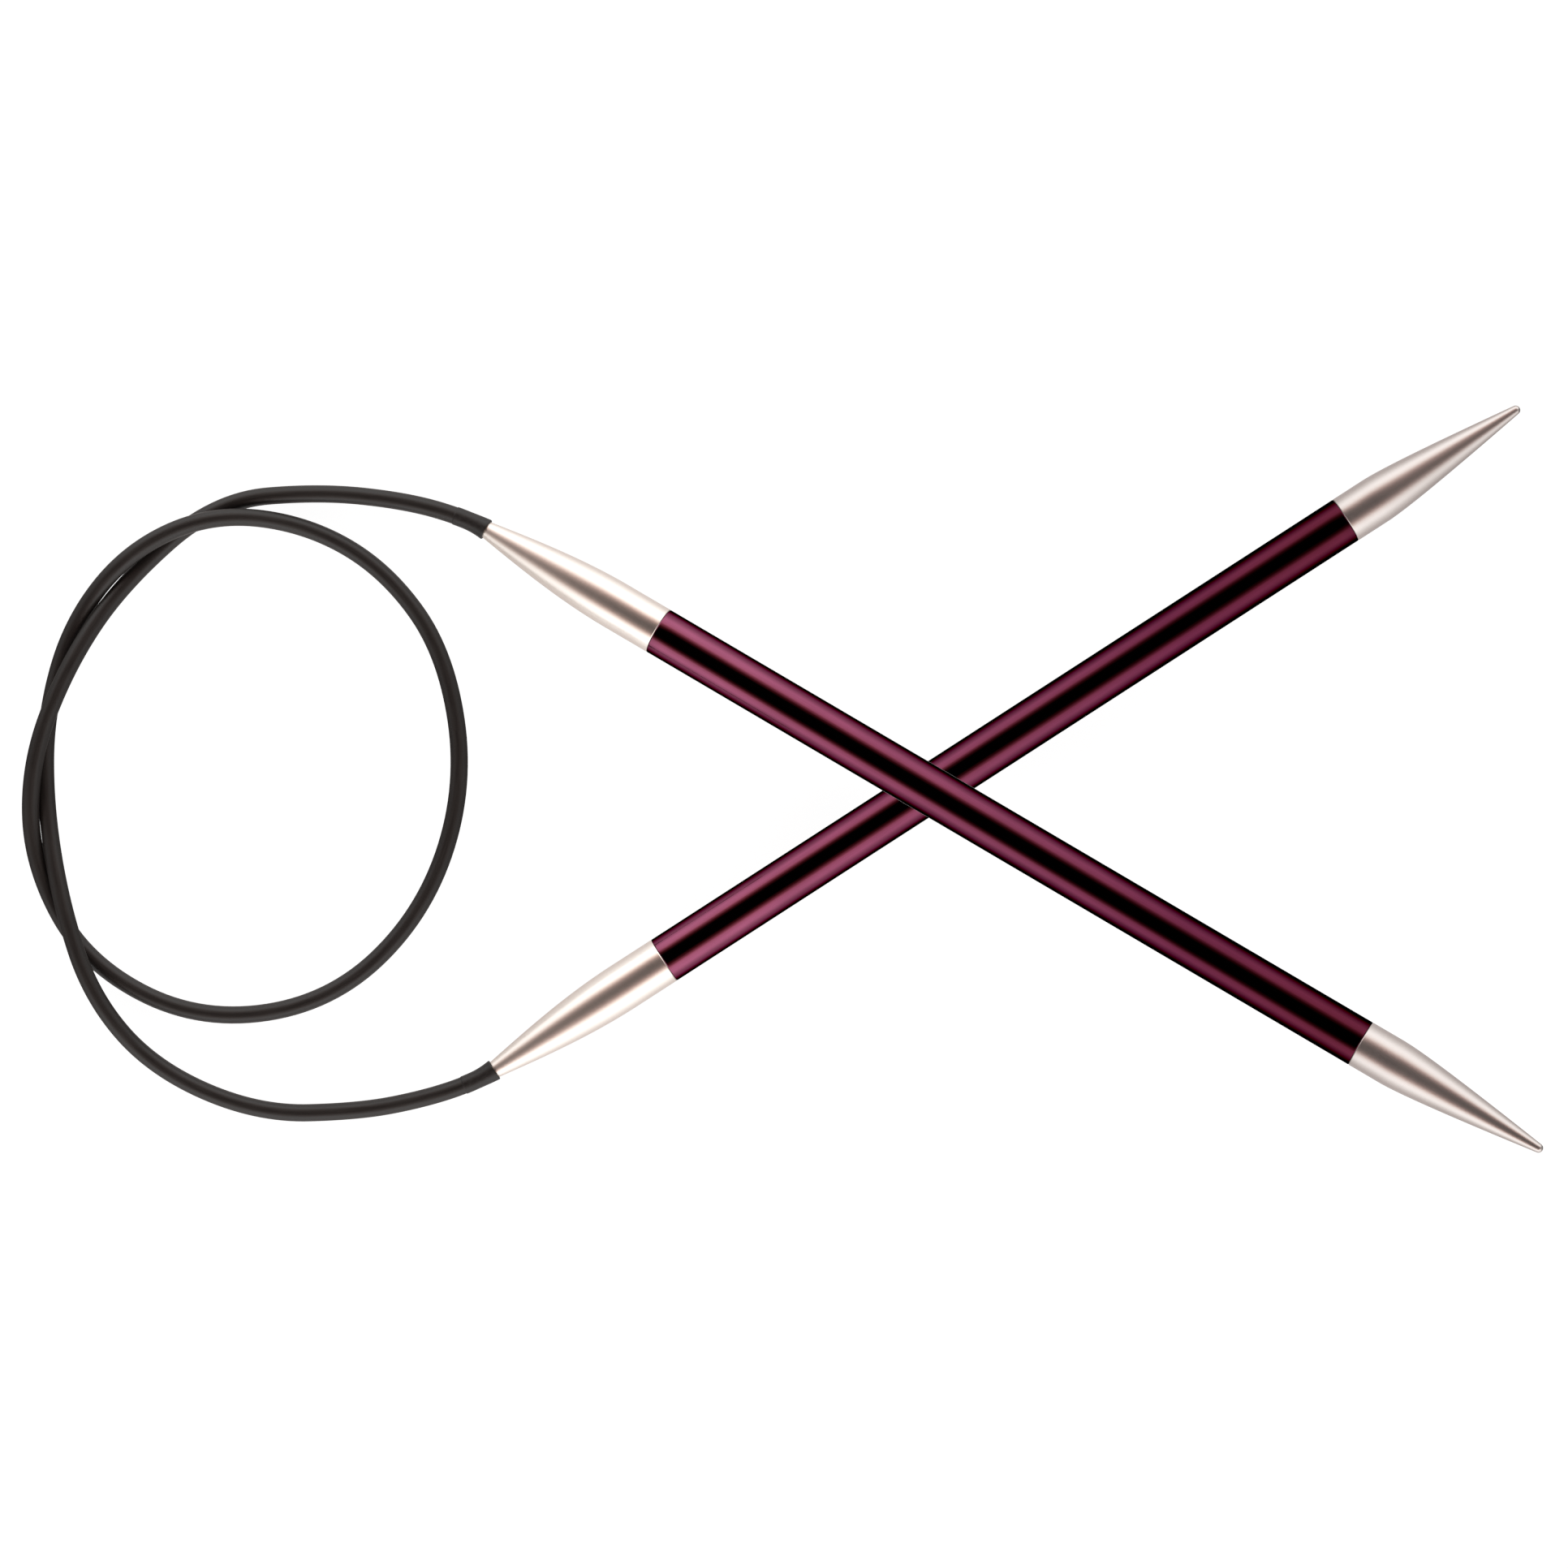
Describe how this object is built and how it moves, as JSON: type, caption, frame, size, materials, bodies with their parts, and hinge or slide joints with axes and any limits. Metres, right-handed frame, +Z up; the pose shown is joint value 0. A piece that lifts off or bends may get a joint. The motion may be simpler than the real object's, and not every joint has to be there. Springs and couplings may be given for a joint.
{
  "type": "circular knitting needle",
  "caption": "Circular knitting needle: two slim metal needles with tapered points, their blunt ends joined by one flexible cord that loops round behind them.",
  "frame": {"origin": "centre of the two needles' and cuffs' bounding box, at the surface that the needle lies on", "axes": "+X from the cord's side towards the points, +Z up from the surface, +Y across"},
  "size_m": [0.1727, 0.0845, 0.0187],
  "materials": {
    "anodised_shaft": "plum anodised, smooth, glossy, slightly drawn along its length",
    "point_metal": "polished silver-grey metal with fine turning marks",
    "ferrule_metal": "bright polished plating",
    "anchor_brass": "plain turned brass",
    "cuff_black": "moulded, satin black",
    "cord_black": "charcoal nylon, semi-gloss"
  },
  "bodies": {
    "cord": {"cord_loop": "cord_black"},
    "upper_lead": {"cord_lead_upper": "cord_black"},
    "upper_needle": {"upper_tube": "anodised_shaft", "upper_point": "point_metal", "upper_ferrule": "ferrule_metal", "upper_anchor": "anchor_brass", "upper_cuff": "cuff_black"},
    "lower_needle": {"lower_tube": "anodised_shaft", "lower_point": "point_metal", "lower_ferrule": "ferrule_metal", "lower_anchor": "anchor_brass", "lower_cuff": "cuff_black", "cord_lead_lower": "cord_black"}
  },
  "joints": [
    {"name": "upper_needle_swing", "type": "hinge", "parent": "cord", "child": "upper_lead", "pos_m": [-0.07134, 0.03332, 0.001], "axis": [0, 0, 1], "range_deg": [0, 45], "deforming": ["cord_lead_upper"]},
    {"name": "upper_needle_lift", "type": "hinge", "parent": "upper_lead", "child": "upper_needle", "pos_m": [-0.05933, 0.02921, 0.00191], "axis": [-0.5075, -0.8616, 0], "range_deg": [0, 40], "deforming": ["upper_cuff"]},
    {"name": "lower_needle_swing", "type": "hinge", "parent": "cord", "child": "lower_needle", "pos_m": [-0.06979, -0.03974, 0.00187], "axis": [0, 0, 1], "range_deg": [-45, 0], "deforming": ["cord_lead_lower"]}
  ]
}
